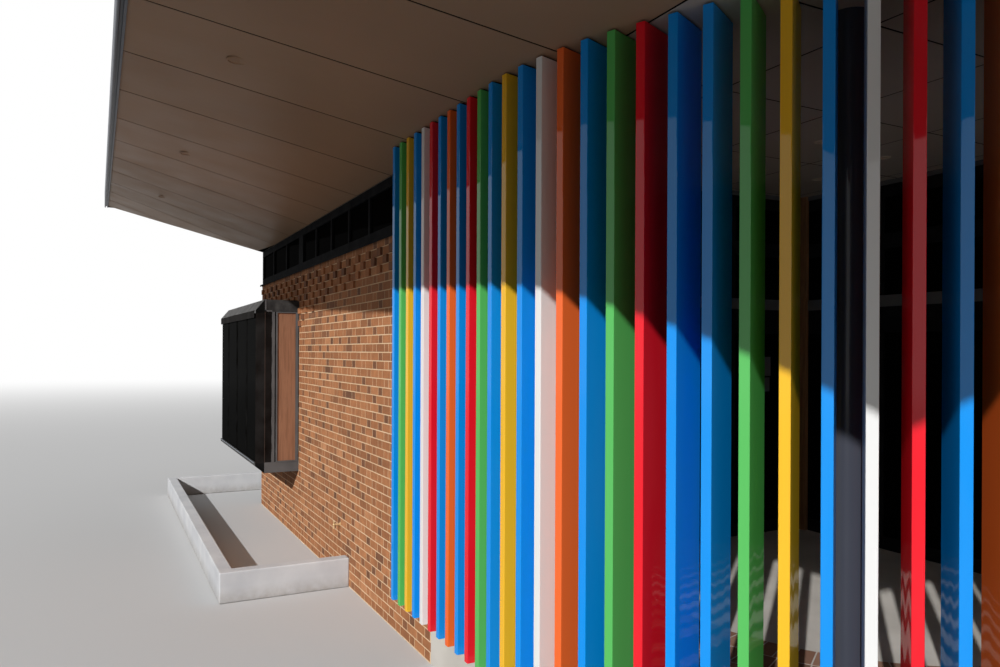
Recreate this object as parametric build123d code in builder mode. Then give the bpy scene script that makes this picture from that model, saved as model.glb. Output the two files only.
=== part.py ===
from build123d import *
import os
from math import cos, pi, radians, sin

os.makedirs("parts", exist_ok=True)

# A single-storey school block. X runs to the right along the front, Y runs into the
# building and Z is up, in millimetres. The origin is under the middle of the roof, on
# the lowest ground. The building is the same in front of and behind its long axis as
# far as the roof goes.

# Levels above the lowest ground
floor_level = 710
slab_thickness = 200
brick_top = 3700
soffit_level = 4265
eave_rise = 849
fascia_height = 250
fascia_lip = 15
deck_thickness = 90
ceiling_thickness = 40
soffit_thickness = 30

# Walls and the plan
wall_thickness = 250
block_length = 7570
building_depth = 8000
veranda_depth = 4270
side_brick_length = 2400
beam_width = 150

# Roof overhangs
front_eave = 2326
end_eave = 1680
right_eave = 1365
fascia_thickness = 55

# Ribs of the roof sheet, which run down its fall
rib_pitch = 200
rib_foot = 44
rib_crest = 20
rib_height = 29

# Coloured fins: a straight row that turns inwards along a quarter circle
fin_width = 52
fin_depth = 288
fin_pitch = 163
fin_foot = 535
fin_radius = 3285
fin_lap = 155
straight_fins = 12
arc_steps = 29
fin_colours = (
    "blue green yellow blue white red blue orange blue red green blue yellow blue "
    "white orange blue green red blue blue green yellow blue white red blue orange "
    "blue red green blue yellow blue white orange blue green red blue blue"
).split()

# Veranda
plinth_thickness = 150
column_diameter = 200
column_gap = 107
column_step = 38.6
column_count = 3

# Frames of the glazing
frame_depth = 90
frame_setback = 5
glass_recess = 20
glass_thickness = 12
post_width = 55
clerestory_sill = 100
clerestory_head = 95
wide_post_place = 2800
wide_post_width = 240
wide_post_bays = 3
front_post_start = 2895
front_post_pitch = 735
end_post_pitch = 920
screen_sill = 120
screen_head = 160
transom_bottom = 2800
transom_top = 3070
upper_rail_bottom = 3610
upper_rail_top = 3755
screen_bays = 4
side_screen_bays = 2
jamb_width = 90
jamb_reach = 45
jamb_offset = 40

# Windows in the back wall
window_count = 3
window_width = 1800
window_sill = 1400
window_head = 3000
window_bays = 2

# Bay window that wraps the front left corner
bay_bottom = 936
bay_floor = 1080
bay_ceiling = 3127
bay_top = 3292
bay_right = 2740
bay_return = 1500
bay_projection = 462
bay_end_projection = 595
bay_band = 105
bay_glass_bottom = 1067
bay_glass_top = 3110
bay_band_slope_top = 3150
bay_band_slope_bottom = 1027
bay_corner_cut = 90
bay_side_thickness = 50
bay_panel_inner = 47
bay_panel_outer = 293
bay_frame_outer = 370
bay_panel_thickness = 18
bay_panel_recess = 8
bay_panel_border = 12
bay_post_width = 60
bay_post_places = (94, 973, 1850)
bay_glass_inset = 20
bay_glass_joint = 4

# Planter round the same corner
planter_height = 320
planter_wall = 150
planter_front = 1360
planter_near = 5200
planter_far = 1530
planter_return = 3500

# Hose tap
tap_place = 4840
tap_height = 620
tap_radius = 11
tap_body_radius = 14
tap_reach = 75
tap_flange_radius = 24
tap_flange_thickness = 6
tap_spout_radius = 10
tap_spout_drop = 45
tap_stem_height = 38
tap_stem_radius = 6
tap_handle_length = 64
tap_handle_radius = 5

# Places that follow from the sizes above
building_length = block_length - fin_lap + (straight_fins - 1) * fin_pitch + fin_radius
roof_length = end_eave + building_length + right_eave + 2 * fascia_thickness
soffit_left = fascia_thickness - roof_length / 2
soffit_right = -soffit_left
end_x = soffit_left + end_eave
side_x = end_x + block_length
right_x = end_x + building_length
front_y = -building_depth / 2
back_y = -front_y
edge_y = front_y - front_eave
veranda_y = front_y + veranda_depth
inner_y = front_y + wall_thickness
inner_right_x = right_x - wall_thickness
ceiling_top = soffit_level + ceiling_thickness
slab_bottom = floor_level - slab_thickness
fin_arc_x = right_x - fin_radius
fin_arc_y = front_y - fin_depth + fin_radius
slab_radius = fin_radius - fin_depth
column_ring = slab_radius - column_gap - column_diameter / 2
frame_back = frame_setback + frame_depth
glass_setback = frame_setback + glass_recess


def edge_height(x):
    """Height of the roof edge's underside, which falls to the right."""
    return soffit_level + eave_rise * (soffit_right - x) / (soffit_right - soffit_left)


def roof_top(x):
    """Height of the roof's upper face."""
    return edge_height(x) + fascia_height


def soffit_height(x, y):
    """Height of the front soffit or of the flat ceiling behind the wall line."""
    reach = max(front_y - y, 0) / front_eave
    return soffit_level + (edge_height(x) - soffit_level) * reach


def block(x, y, z, mode=Mode.ADD):
    """A square-edged block between a low and a high place along each axis."""
    with Locations(((x[0] + x[1]) / 2, (y[0] + y[1]) / 2, (z[0] + z[1]) / 2)):
        Box(x[1] - x[0], y[1] - y[0], z[1] - z[0], mode=mode)


def plane_through(a, b, c):
    """The plane through three points, facing up."""
    first, second = Vector(b) - Vector(a), Vector(c) - Vector(a)
    normal = first.cross(second)
    if normal.Z < 0:
        normal = -normal
    return Plane(origin=a, x_dir=first, z_dir=normal)


def gaps(bars):
    """The clear gaps between bars that are given as (low, high) pairs."""
    return [(left[1], right[0]) for left, right in zip(bars, bars[1:])]


def bars_at(places, width):
    """Bars of one width centred on the given places."""
    return [(place - width / 2, place + width / 2) for place in places]


def even_bars(low, high, bays, width):
    """Bars of one width that divide a stretch into equal bays, one at each end."""
    step = (high - low - width) / bays
    return [(low + i * step, low + i * step + width) for i in range(bays + 1)]


def x_screen(posts, rails, y):
    """A frame along X, with its panes cut out."""
    block((posts[0][0], posts[-1][1]), y, (rails[0][0], rails[-1][1]))
    for x in gaps(posts):
        for z in gaps(rails):
            block(x, y, z, mode=Mode.SUBTRACT)


def y_screen(posts, rails, x):
    """A frame along Y, with its panes cut out."""
    block(x, (posts[0][0], posts[-1][1]), (rails[0][0], rails[-1][1]))
    for y in gaps(posts):
        for z in gaps(rails):
            block(x, y, z, mode=Mode.SUBTRACT)


def x_panes(posts, rails, y):
    """The glass in a frame along X."""
    for x in gaps(posts):
        for z in gaps(rails):
            block(x, y, z)


def y_panes(posts, rails, x):
    """The glass in a frame along Y."""
    for y in gaps(posts):
        for z in gaps(rails):
            block(x, y, z)


# Brick walls, which run down to the lowest ground
with BuildPart() as front_wall:
    block((end_x, side_x), (front_y, inner_y), (0, brick_top))
    block(
        (end_x, end_x + bay_right - bay_side_thickness),
        (front_y, inner_y),
        (bay_floor, bay_ceiling),
        mode=Mode.SUBTRACT,
    )
front_wall.part.label = "front_wall"
export_step(front_wall.part, "parts/front_wall.step")

with BuildPart() as end_wall:
    block((end_x, end_x + wall_thickness), (inner_y, back_y), (0, brick_top))
    block(
        (end_x, end_x + wall_thickness),
        (inner_y, front_y + bay_return - bay_side_thickness),
        (bay_floor, bay_ceiling),
        mode=Mode.SUBTRACT,
    )
end_wall.part.label = "end_wall"
export_step(end_wall.part, "parts/end_wall.step")

# Windows stand in the middle of equal lengths of the back wall
window_step = building_length / window_count
window_centres = [end_x + (i + 0.5) * window_step for i in range(window_count)]
window_places = bars_at(window_centres, window_width)

with BuildPart() as back_wall:
    block((end_x + wall_thickness, right_x), (back_y - wall_thickness, back_y), (0, brick_top))
    for x in window_places:
        block(
            x,
            (back_y - wall_thickness, back_y),
            (window_sill, window_head),
            mode=Mode.SUBTRACT,
        )
back_wall.part.label = "back_wall"
export_step(back_wall.part, "parts/back_wall.step")

with BuildPart() as right_wall:
    block((inner_right_x, right_x), (veranda_y, back_y - wall_thickness), (0, brick_top))
    block(
        (inner_right_x, right_x),
        (veranda_y, veranda_y + wall_thickness),
        (brick_top, soffit_level),
    )
right_wall.part.label = "right_wall"
export_step(right_wall.part, "parts/right_wall.step")

# The wall between the classroom and the veranda, open for the glazed screen
side_wall_x = (side_x - wall_thickness, side_x)
side_screen_y = (front_y + side_brick_length, veranda_y)
with BuildPart() as side_wall:
    block(side_wall_x, (inner_y, veranda_y), (0, soffit_level))
    block(side_wall_x, (front_y + frame_back, inner_y), (brick_top, soffit_level))
    block(side_wall_x, side_screen_y, (floor_level, soffit_level), mode=Mode.SUBTRACT)
side_wall.part.label = "side_wall"
export_step(side_wall.part, "parts/side_wall.step")

# Floors
with BuildPart() as floor_slab:
    block(
        (end_x + wall_thickness, side_x - wall_thickness),
        (inner_y, back_y - wall_thickness),
        (slab_bottom, floor_level),
    )
    block(
        (side_x - wall_thickness, inner_right_x),
        (veranda_y, back_y - wall_thickness),
        (slab_bottom, floor_level),
    )
floor_slab.part.label = "floor_slab"
export_step(floor_slab.part, "parts/floor_slab.step")


def veranda_outline(inset):
    """Outline of the veranda floor, drawn in from its open edge by an inset."""
    radius = slab_radius - inset
    start = (side_x, front_y + inset)
    Line(start, (fin_arc_x, front_y + inset))
    CenterArc((fin_arc_x, fin_arc_y), radius, -90, 90)
    Polyline(
        (fin_arc_x + radius, fin_arc_y),
        (fin_arc_x + radius, veranda_y),
        (side_x, veranda_y),
        start,
    )


with BuildPart() as veranda_slab:
    with BuildSketch(Plane.XY.offset(slab_bottom)):
        with BuildLine():
            veranda_outline(0)
        make_face()
    extrude(amount=slab_thickness)
veranda_slab.part.label = "veranda_slab"
export_step(veranda_slab.part, "parts/veranda_slab.step")

with BuildPart() as veranda_plinth:
    with BuildSketch(Plane.XY):
        with BuildLine():
            veranda_outline(0)
        make_face()
        with BuildLine():
            veranda_outline(plinth_thickness)
        make_face(mode=Mode.SUBTRACT)
    extrude(amount=slab_bottom)
veranda_plinth.part.label = "veranda_plinth"
export_step(veranda_plinth.part, "parts/veranda_plinth.step")

with BuildPart() as veranda_columns:
    for i in range(column_count):
        turn = radians(i * column_step)
        place = (fin_arc_x + column_ring * sin(turn), fin_arc_y - column_ring * cos(turn))
        with BuildSketch(Plane.XY.offset(floor_level)):
            with Locations(place):
                Circle(column_diameter / 2)
        extrude(amount=soffit_level - floor_level)
veranda_columns.part.label = "veranda_columns"
export_step(veranda_columns.part, "parts/veranda_columns.step")


def fin_place(number):
    """Middle of a fin's front face, and how far the row has turned there."""
    if number < straight_fins:
        first = fin_arc_x - (straight_fins - 1) * fin_pitch
        return first + number * fin_pitch, front_y - fin_depth, 0
    turn = (number - straight_fins + 1) * pi / 2 / arc_steps
    return fin_arc_x + fin_radius * sin(turn), fin_arc_y - fin_radius * cos(turn), turn


def fin_outline(number):
    """Side view of a fin, whose head follows the soffit above its right-hand edge."""
    x, y, turn = fin_place(number)
    x += cos(turn) * fin_width / 2
    y += sin(turn) * fin_width / 2
    head = [(fin_depth, soffit_level)]
    if 0 < front_y - y < fin_depth * cos(turn):
        head.append(((front_y - y) / cos(turn), soffit_level))
    head.append((0, soffit_height(x, y)))
    return [(0, fin_foot), (fin_depth, fin_foot)] + head


def make_fins(colour):
    """All fins of one colour, each a bar of its own."""
    with BuildPart() as fins:
        for number, fin_colour in enumerate(fin_colours):
            if fin_colour != colour:
                continue
            x, y, turn = fin_place(number)
            side = Plane(
                origin=(x, y, 0),
                x_dir=(-sin(turn), cos(turn), 0),
                z_dir=(cos(turn), sin(turn), 0),
            )
            with BuildSketch(side):
                with BuildLine():
                    Polyline(*fin_outline(number), close=True)
                make_face()
            extrude(amount=fin_width / 2, both=True)
    return fins


for colour in sorted(set(fin_colours)):
    fins = make_fins(colour)
    fins.part.label = "fins_" + colour
    export_step(fins.part, "parts/fins_" + colour + ".step")

# Glazed screens of the veranda
screen_rails = [
    (floor_level, floor_level + screen_sill),
    (transom_bottom, transom_top),
    (upper_rail_bottom, upper_rail_top),
    (soffit_level - screen_head, soffit_level),
]
screen_posts = even_bars(side_x - wall_thickness, inner_right_x, screen_bays, post_width)
screen_y = (veranda_y, veranda_y + frame_depth)

with BuildPart() as veranda_frame:
    x_screen(screen_posts, screen_rails, screen_y)
veranda_frame.part.label = "veranda_frame"
export_step(veranda_frame.part, "parts/veranda_frame.step")

with BuildPart() as door_jamb:
    block(
        (side_x + jamb_offset, side_x + jamb_offset + jamb_width),
        (veranda_y - jamb_reach, veranda_y),
        (floor_level, soffit_level),
    )
door_jamb.part.label = "door_jamb"
export_step(door_jamb.part, "parts/door_jamb.step")

side_posts = even_bars(side_screen_y[0], side_screen_y[1], side_screen_bays, post_width)
side_frame_x = (side_x - frame_back, side_x - frame_setback)
with BuildPart() as side_screen_frame:
    y_screen(side_posts, screen_rails, side_frame_x)
side_screen_frame.part.label = "side_screen_frame"
export_step(side_screen_frame.part, "parts/side_screen_frame.step")

with BuildPart() as screen_panes:
    x_panes(
        screen_posts,
        screen_rails,
        (veranda_y + glass_recess, veranda_y + glass_recess + glass_thickness),
    )
    y_panes(
        side_posts,
        screen_rails,
        (side_x - glass_setback - glass_thickness, side_x - glass_setback),
    )
screen_panes.part.label = "screen_glass"
export_step(screen_panes.part, "parts/screen_glass.step")

# Windows of the back wall
window_rails = [
    (window_sill, window_sill + post_width),
    (window_head - post_width, window_head),
]
window_posts = [even_bars(x[0], x[1], window_bays, post_width) for x in window_places]
with BuildPart() as back_window_frames:
    for posts in window_posts:
        x_screen(posts, window_rails, (back_y - frame_back, back_y - frame_setback))
back_window_frames.part.label = "back_window_frames"
export_step(back_window_frames.part, "parts/back_window_frames.step")

with BuildPart() as back_window_glass:
    for posts in window_posts:
        x_panes(
            posts,
            window_rails,
            (back_y - glass_setback - glass_thickness, back_y - glass_setback),
        )
back_window_glass.part.label = "back_window_glass"
export_step(back_window_glass.part, "parts/back_window_glass.step")

# Clerestory on top of the brick walls
clerestory_rails = [
    (brick_top, brick_top + clerestory_sill),
    (soffit_level - clerestory_head, soffit_level),
]
left_pitch = wide_post_place / wide_post_bays
left_places = [end_x + i * left_pitch for i in range(1, wide_post_bays)]
first_place = end_x + front_post_start
right_count = int((block_length - front_post_start - post_width) / front_post_pitch)
right_places = [first_place + i * front_post_pitch for i in range(1, right_count + 1)]
front_posts = [(end_x, end_x + post_width)]
front_posts += bars_at(left_places, post_width)
front_posts += bars_at([end_x + wide_post_place], wide_post_width)
front_posts += bars_at(right_places, post_width)
front_posts += [(side_x - post_width, side_x)]

side_run = building_depth - 2 * frame_back
end_bays = round(side_run / end_post_pitch)
end_posts = even_bars(front_y + frame_back, back_y - frame_back, end_bays, post_width)
right_start = veranda_y + wall_thickness
right_bays = round((back_y - frame_back - right_start) / end_post_pitch)
right_posts = even_bars(right_start, back_y - frame_back, right_bays, post_width)
back_bays = round(building_length / end_post_pitch)
back_posts = even_bars(end_x, right_x, back_bays, post_width)

with BuildPart() as front_clerestory:
    x_screen(
        front_posts, clerestory_rails, (front_y + frame_setback, front_y + frame_back)
    )
front_clerestory.part.label = "front_clerestory"
export_step(front_clerestory.part, "parts/front_clerestory.step")

with BuildPart() as end_clerestory:
    y_screen(end_posts, clerestory_rails, (end_x + frame_setback, end_x + frame_back))
end_clerestory.part.label = "end_clerestory"
export_step(end_clerestory.part, "parts/end_clerestory.step")

with BuildPart() as back_clerestory:
    x_screen(back_posts, clerestory_rails, (back_y - frame_back, back_y - frame_setback))
back_clerestory.part.label = "back_clerestory"
export_step(back_clerestory.part, "parts/back_clerestory.step")

with BuildPart() as right_clerestory:
    y_screen(
        right_posts, clerestory_rails, (right_x - frame_back, right_x - frame_setback)
    )
right_clerestory.part.label = "right_clerestory"
export_step(right_clerestory.part, "parts/right_clerestory.step")

low, high = glass_setback, glass_setback + glass_thickness
with BuildPart() as clerestory_glass:
    x_panes(front_posts, clerestory_rails, (front_y + low, front_y + high))
    y_panes(end_posts, clerestory_rails, (end_x + low, end_x + high))
    x_panes(back_posts, clerestory_rails, (back_y - high, back_y - low))
    y_panes(right_posts, clerestory_rails, (right_x - high, right_x - low))
clerestory_glass.part.label = "clerestory_glass"
export_step(clerestory_glass.part, "parts/clerestory_glass.step")

# Bay window. Its box wraps the corner, and a band with sloping edges frames the glass.
bay_x = end_x + bay_right
bay_front_y = front_y - bay_projection
bay_left_x = end_x - bay_end_projection
bay_end_y = front_y + bay_return
band_front_y = bay_front_y - bay_band
band_left_x = bay_left_x - bay_band


def bay_ring(bottom, top):
    """The part of the box that stands out from the two walls."""
    block((bay_left_x, bay_x), (bay_front_y, front_y), (bottom, top))
    block((bay_left_x, end_x), (front_y, bay_end_y), (bottom, top))


def band_outline():
    """Plan of the band in front of the box, with its two free ends cut aslant."""
    Polyline(
        (bay_x, bay_front_y),
        (bay_x - bay_corner_cut, band_front_y),
        (band_left_x, band_front_y),
        (band_left_x, bay_end_y - bay_corner_cut),
        (bay_left_x, bay_end_y),
        (bay_left_x, bay_front_y),
        close=True,
    )


with BuildPart() as bay_base:
    bay_ring(bay_bottom, bay_floor)
bay_base.part.label = "bay_base"
export_step(bay_base.part, "parts/bay_base.step")

with BuildPart() as bay_head:
    bay_ring(bay_ceiling, bay_top)
bay_head.part.label = "bay_head"
export_step(bay_head.part, "parts/bay_head.step")

with BuildPart() as bay_head_flashing:
    with BuildSketch(Plane.XY.offset(bay_glass_top)):
        with BuildLine():
            band_outline()
        make_face()
    extrude(amount=bay_top - bay_glass_top)
    split(
        bisect_by=plane_through(
            (0, band_front_y, bay_band_slope_top),
            (1, band_front_y, bay_band_slope_top),
            (0, bay_front_y, bay_top),
        ),
        keep=Keep.BOTTOM,
    )
    split(
        bisect_by=plane_through(
            (band_left_x, 0, bay_band_slope_top),
            (band_left_x, 1, bay_band_slope_top),
            (bay_left_x, 0, bay_top),
        ),
        keep=Keep.BOTTOM,
    )
bay_head_flashing.part.label = "bay_head_flashing"
export_step(bay_head_flashing.part, "parts/bay_head_flashing.step")

with BuildPart() as bay_sill_flashing:
    with BuildSketch(Plane.XY.offset(bay_bottom)):
        with BuildLine():
            band_outline()
        make_face()
    extrude(amount=bay_glass_bottom - bay_bottom)
    split(
        bisect_by=plane_through(
            (0, band_front_y, bay_band_slope_bottom),
            (1, band_front_y, bay_band_slope_bottom),
            (0, bay_front_y, bay_bottom),
        ),
        keep=Keep.TOP,
    )
    split(
        bisect_by=plane_through(
            (band_left_x, 0, bay_band_slope_bottom),
            (band_left_x, 1, bay_band_slope_bottom),
            (bay_left_x, 0, bay_bottom),
        ),
        keep=Keep.TOP,
    )
bay_sill_flashing.part.label = "bay_sill_flashing"
export_step(bay_sill_flashing.part, "parts/bay_sill_flashing.step")

# Posts of the bay: three behind the front glass, and one at each free end of the band
post_z = (bay_glass_bottom, bay_glass_top)
glass_front_y = band_front_y + bay_glass_inset
glass_left_x = band_left_x + bay_glass_inset
jamb_x = bay_x - bay_corner_cut
jamb_y = bay_end_y - bay_corner_cut
with BuildPart() as bay_posts:
    for place in bay_post_places:
        block(
            (end_x + place - bay_post_width / 2, end_x + place + bay_post_width / 2),
            (glass_front_y + glass_thickness, bay_front_y),
            post_z,
        )
    with BuildSketch(Plane.XY.offset(bay_glass_bottom)):
        with BuildLine():
            Polyline(
                (bay_x, bay_front_y),
                (jamb_x, band_front_y),
                (jamb_x, bay_front_y),
                close=True,
            )
        make_face()
        with BuildLine():
            Polyline(
                (bay_left_x, bay_end_y),
                (band_left_x, jamb_y),
                (bay_left_x, jamb_y),
                close=True,
            )
        make_face()
    extrude(amount=bay_glass_top - bay_glass_bottom)
bay_posts.part.label = "bay_posts"
export_step(bay_posts.part, "parts/bay_posts.step")

with BuildPart() as bay_glass:
    block(
        (glass_left_x, jamb_x),
        (glass_front_y, glass_front_y + glass_thickness),
        post_z,
    )
    block(
        (glass_left_x, glass_left_x + glass_thickness),
        (glass_front_y + glass_thickness + bay_glass_joint, jamb_y),
        post_z,
    )
bay_glass.part.label = "bay_glass"
export_step(bay_glass.part, "parts/bay_glass.step")

# Closed sides of the box: a metal frame round a recessed board, and a dark strip in front
side_z = (bay_floor, bay_ceiling)
panel_z = (bay_floor + bay_panel_border, bay_ceiling - bay_panel_border)
side_x_range = (bay_x - bay_side_thickness, bay_x)
side_y_range = (bay_end_y - bay_side_thickness, bay_end_y)
with BuildPart() as bay_side_frame:
    block(side_x_range, (front_y - bay_frame_outer, front_y), side_z)
    block(
        side_x_range,
        (front_y - bay_panel_outer, front_y - bay_panel_inner),
        panel_z,
        mode=Mode.SUBTRACT,
    )
    block((end_x - bay_frame_outer, end_x), side_y_range, side_z)
    block(
        (end_x - bay_panel_outer, end_x - bay_panel_inner),
        side_y_range,
        panel_z,
        mode=Mode.SUBTRACT,
    )
bay_side_frame.part.label = "bay_side_frame"
export_step(bay_side_frame.part, "parts/bay_side_frame.step")

panel_back = bay_panel_recess + bay_panel_thickness
with BuildPart() as bay_side_panel:
    block(
        (bay_x - panel_back, bay_x - bay_panel_recess),
        (front_y - bay_panel_outer, front_y - bay_panel_inner),
        panel_z,
    )
    block(
        (end_x - bay_panel_outer, end_x - bay_panel_inner),
        (bay_end_y - panel_back, bay_end_y - bay_panel_recess),
        panel_z,
    )
bay_side_panel.part.label = "bay_side_panel"
export_step(bay_side_panel.part, "parts/bay_side_panel.step")

with BuildPart() as bay_side_strip:
    block(side_x_range, (bay_front_y, front_y - bay_frame_outer), side_z)
    block((bay_left_x, end_x - bay_frame_outer), side_y_range, side_z)
bay_side_strip.part.label = "bay_side_strip"
export_step(bay_side_strip.part, "parts/bay_side_strip.step")

# Planter
planter_near_x = end_x + planter_near
planter_far_x = end_x - planter_far
planter_front_y = front_y - planter_front
planter_back_y = front_y + planter_return
planter_z = (0, planter_height)
with BuildPart() as planter:
    block((planter_near_x - planter_wall, planter_near_x), (planter_front_y, front_y), planter_z)
    block(
        (planter_far_x, planter_near_x),
        (planter_front_y, planter_front_y + planter_wall),
        planter_z,
    )
    block(
        (planter_far_x, planter_far_x + planter_wall),
        (planter_front_y, planter_back_y),
        planter_z,
    )
    block((planter_far_x, end_x), (planter_back_y - planter_wall, planter_back_y), planter_z)
planter.part.label = "planter"
export_step(planter.part, "parts/planter.step")

# Hose tap on the front wall
tap_x = end_x + tap_place
outwards = Plane.XZ.offset(-front_y)
spout_y = front_y - tap_reach
with BuildPart() as hose_tap:
    with BuildSketch(outwards):
        with Locations((tap_x, tap_height)):
            Circle(tap_flange_radius)
    extrude(amount=tap_flange_thickness)
    with BuildSketch(outwards):
        with Locations((tap_x, tap_height)):
            Circle(tap_radius)
    extrude(amount=tap_reach)
    with BuildSketch(Plane.XY.offset(tap_height)):
        with Locations((tap_x, spout_y)):
            Circle(tap_spout_radius)
    extrude(amount=-tap_spout_drop)
    with BuildSketch(Plane.XY.offset(tap_height)):
        with Locations((tap_x, spout_y)):
            Circle(tap_stem_radius)
    extrude(amount=tap_stem_height)
    with Locations((tap_x, spout_y, tap_height)):
        Sphere(tap_body_radius)
    with Locations((tap_x, spout_y, tap_height + tap_stem_height)):
        Cylinder(tap_handle_radius, tap_handle_length, rotation=(0, 90, 0))
hose_tap.part.label = "hose_tap"
export_step(hose_tap.part, "parts/hose_tap.step")

# Flat ceilings inside and over the veranda
with BuildPart() as room_ceiling:
    block((end_x, side_x), (front_y, back_y), (soffit_level, ceiling_top))
    block((side_x, right_x), (veranda_y, back_y), (soffit_level, ceiling_top))
room_ceiling.part.label = "room_ceiling"
export_step(room_ceiling.part, "parts/room_ceiling.step")

with BuildPart() as veranda_ceiling:
    block((side_x, soffit_right), (front_y, veranda_y), (soffit_level, ceiling_top))
    block((right_x, soffit_right), (veranda_y, back_y), (soffit_level, ceiling_top))
veranda_ceiling.part.label = "veranda_ceiling"
export_step(veranda_ceiling.part, "parts/veranda_ceiling.step")

# Front soffit: a warped sheet that is level at the wall and follows the sloping roof edge
# outside, with a flat corner piece up to the mitre
wall_corner = (end_x, front_y, soffit_level)
outer_corner = (soffit_left, edge_y, edge_height(soffit_left))
facing_corner = (end_x, edge_y, edge_height(end_x))


def raised(point):
    """The point above another on the upper face of the soffit."""
    return (point[0], point[1], point[2] + soffit_thickness)


tall = roof_top(soffit_left) + front_eave
with BuildPart() as soffit_corner:
    with BuildSketch(Plane.XY):
        with BuildLine():
            Polyline(
                (end_x, front_y), (soffit_left, edge_y), (end_x, edge_y), close=True
            )
        make_face()
    extrude(amount=tall)
    split(
        bisect_by=plane_through(wall_corner, outer_corner, facing_corner), keep=Keep.TOP
    )
    split(
        bisect_by=plane_through(
            raised(wall_corner), raised(outer_corner), raised(facing_corner)
        ),
        keep=Keep.BOTTOM,
    )

with BuildPart() as front_soffit:
    for x in (end_x, soffit_right):
        with BuildSketch(Plane.YZ.offset(x)):
            with BuildLine():
                Polyline(
                    (front_y, soffit_level),
                    (edge_y, edge_height(x)),
                    (edge_y, edge_height(x) + soffit_thickness),
                    (front_y, soffit_level + soffit_thickness),
                    close=True,
                )
            make_face()
    loft(ruled=True)
    add(soffit_corner.part)
front_soffit.part.label = "front_soffit"
export_step(front_soffit.part, "parts/front_soffit.step")

with BuildPart() as back_soffit:
    add(mirror(front_soffit.part, about=Plane.XZ, mode=Mode.PRIVATE))
back_soffit.part.label = "back_soffit"
export_step(back_soffit.part, "parts/back_soffit.step")

# End soffit, a flat sheet that rises from the end wall to the level end edge
back_corner = (end_x, back_y, soffit_level)
with BuildPart() as end_soffit:
    with BuildSketch(Plane.XY):
        with BuildLine():
            Polyline(
                (end_x, front_y),
                (soffit_left, edge_y),
                (soffit_left, -edge_y),
                (end_x, back_y),
                close=True,
            )
        make_face()
    extrude(amount=tall)
    split(
        bisect_by=plane_through(wall_corner, back_corner, outer_corner), keep=Keep.TOP
    )
    split(
        bisect_by=plane_through(
            raised(wall_corner), raised(back_corner), raised(outer_corner)
        ),
        keep=Keep.BOTTOM,
    )
end_soffit.part.label = "end_soffit"
export_step(end_soffit.part, "parts/end_soffit.step")

# Roof: beams on the ceiling over the wall lines, a sloping deck and its edge boards
with BuildPart() as roof_beams:
    for y in (front_y, veranda_y, back_y - beam_width):
        with BuildSketch(Plane.XZ.offset(-y)):
            with BuildLine():
                Polyline(
                    (end_x, ceiling_top),
                    (right_x, ceiling_top),
                    (right_x, roof_top(right_x) - deck_thickness),
                    (end_x, roof_top(end_x) - deck_thickness),
                    close=True,
                )
            make_face()
        extrude(amount=-beam_width)
roof_beams.part.label = "roof_beams"
export_step(roof_beams.part, "parts/roof_beams.step")


def deck_outline():
    """Section of the deck at its high end, with the ribs at equal steps."""
    top = roof_top(soffit_left)
    count = round(-2 * edge_y / rib_pitch)
    step = -2 * edge_y / count
    bottom = top - deck_thickness
    points = [(-edge_y, top), (-edge_y, bottom), (edge_y, bottom), (edge_y, top)]
    for i in range(count):
        middle = edge_y + (i + 0.5) * step
        points += [
            (middle - rib_foot / 2, top),
            (middle - rib_crest / 2, top + rib_height),
            (middle + rib_crest / 2, top + rib_height),
            (middle + rib_foot / 2, top),
        ]
    return points


with BuildPart() as roof_deck:
    with BuildSketch(Plane.YZ.offset(soffit_left)):
        with BuildLine():
            Polyline(*deck_outline(), close=True)
        make_face()
    fall = Vector(soffit_right - soffit_left, 0, -eave_rise)
    extrude(amount=fall.length, dir=fall)
roof_deck.part.label = "roof_deck"
export_step(roof_deck.part, "parts/roof_deck.step")

fascia_left = soffit_left - fascia_thickness
fascia_right = soffit_right + fascia_thickness
with BuildPart() as long_fascias:
    with BuildSketch(Plane.XZ.offset(-edge_y)):
        with BuildLine():
            Polyline(
                (fascia_left, edge_height(fascia_left) - fascia_lip),
                (fascia_right, edge_height(fascia_right) - fascia_lip),
                (fascia_right, roof_top(fascia_right)),
                (fascia_left, roof_top(fascia_left)),
                close=True,
            )
        make_face()
    extrude(amount=fascia_thickness)
    mirror(about=Plane.XZ)
long_fascias.part.label = "long_fascias"
export_step(long_fascias.part, "parts/long_fascias.step")

with BuildPart() as end_fascia:
    block(
        (fascia_left, soffit_left),
        (edge_y, -edge_y),
        (edge_height(soffit_left) - fascia_lip, roof_top(soffit_left)),
    )
end_fascia.part.label = "end_fascia"
export_step(end_fascia.part, "parts/end_fascia.step")

with BuildPart() as right_fascia:
    block(
        (soffit_right, fascia_right),
        (edge_y, -edge_y),
        (edge_height(soffit_right) - fascia_lip, roof_top(soffit_right)),
    )
right_fascia.part.label = "right_fascia"
export_step(right_fascia.part, "parts/right_fascia.step")
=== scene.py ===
import random
from math import ceil, cos, inf, pi, radians, sin

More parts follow.
